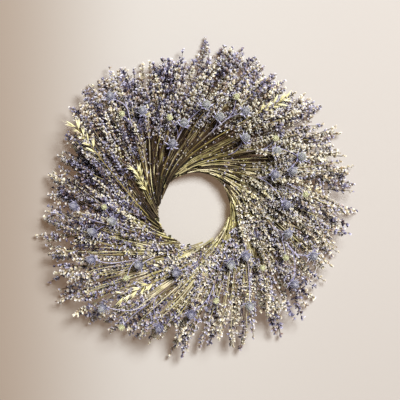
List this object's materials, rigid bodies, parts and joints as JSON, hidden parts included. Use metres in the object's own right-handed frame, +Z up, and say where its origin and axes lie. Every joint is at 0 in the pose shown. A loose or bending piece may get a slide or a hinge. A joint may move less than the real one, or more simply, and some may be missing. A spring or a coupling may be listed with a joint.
{
  "type": "lavender wreath",
  "caption": "Round wall wreath of dried lavender bunches swirling outwards from a wire ring, with sea holly heads and oats on its front.",
  "frame": {"origin": "the underside of the top of the ring, where it hangs on a nail", "axes": "+Y points back to the wall, +Z up, +X to the right as seen from the front"},
  "size_m": [0.5285, 0.0797, 0.5243],
  "materials": {
    "ring_steel": "brown lacquered steel wire",
    "binding_wire": "green lacquered florist's wire",
    "lavender": "dried lavender, matt: violet, grey and cream flowers on olive and straw stems",
    "lavender_stem": "dried lavender stems, matt, olive to straw",
    "sea_holly": "dried sea holly, matt, lilac stems and grey-green heads",
    "oats": "dried oats, satin, pale yellow-green"
  },
  "bodies": {
    "root": {"ring": "ring_steel", "binding_wire": "binding_wire", "bunch_01": "lavender", "bunch_02": "lavender", "bunch_03": "lavender", "bunch_04": "lavender", "bunch_05": "lavender", "bunch_06": "lavender", "bunch_07": "lavender", "bunch_08": "lavender", "bunch_09": "lavender", "bunch_10": "lavender", "bunch_11": "lavender", "bunch_12": "lavender", "sea_holly_01": "sea_holly", "sea_holly_02": "sea_holly", "sea_holly_03": "sea_holly", "sea_holly_04": "sea_holly", "sea_holly_05": "sea_holly", "sea_holly_06": "sea_holly", "sea_holly_07": "sea_holly", "sea_holly_08": "sea_holly", "sea_holly_09": "sea_holly", "sea_holly_10": "sea_holly", "sea_holly_11": "sea_holly", "oat_01": "oats", "oat_02": "oats", "oat_03": "oats", "oat_04": "oats"}
  },
  "joints": []
}
